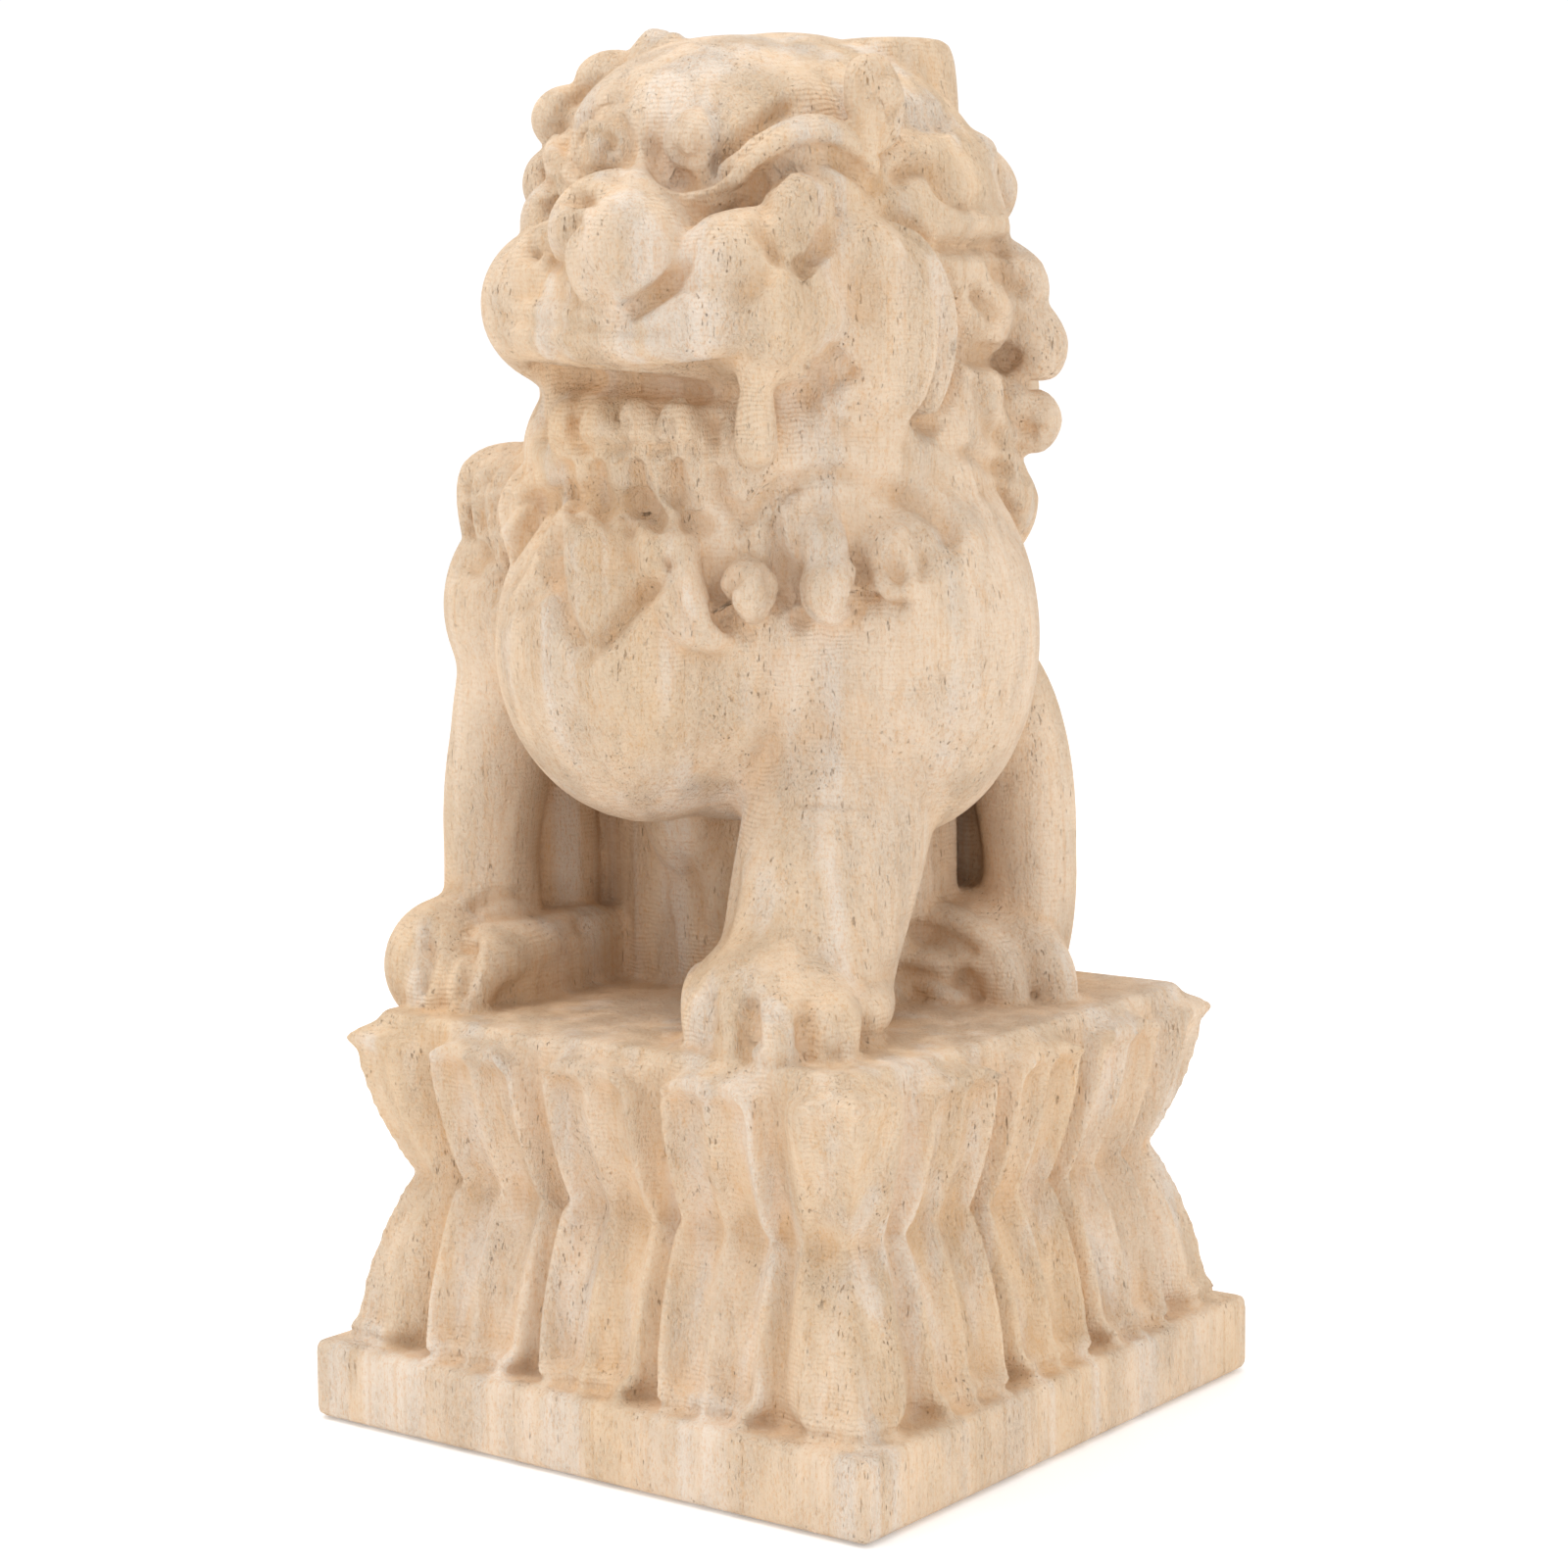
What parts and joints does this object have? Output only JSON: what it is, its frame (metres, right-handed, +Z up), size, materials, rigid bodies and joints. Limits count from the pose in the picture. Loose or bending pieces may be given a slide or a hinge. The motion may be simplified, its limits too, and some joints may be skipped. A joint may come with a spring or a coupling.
{
  "type": "guardian lion statue",
  "caption": "Seated guardian lion carved from one block of raw wood, head turned aside, on a lotus plinth and a square slab.",
  "frame": {"origin": "middle of the slab's underside", "axes": "+Z up; -Y is the side of the slab that the lion's head looks over; +X is the lion's left"},
  "size_m": [0.08, 0.08, 0.1616],
  "materials": {
    "raw_wood": "pale unfinished softwood, machine-carved, fuzzy raised fibres"
  },
  "bodies": {
    "root": {"guardian_lion": "raw_wood"}
  },
  "joints": []
}
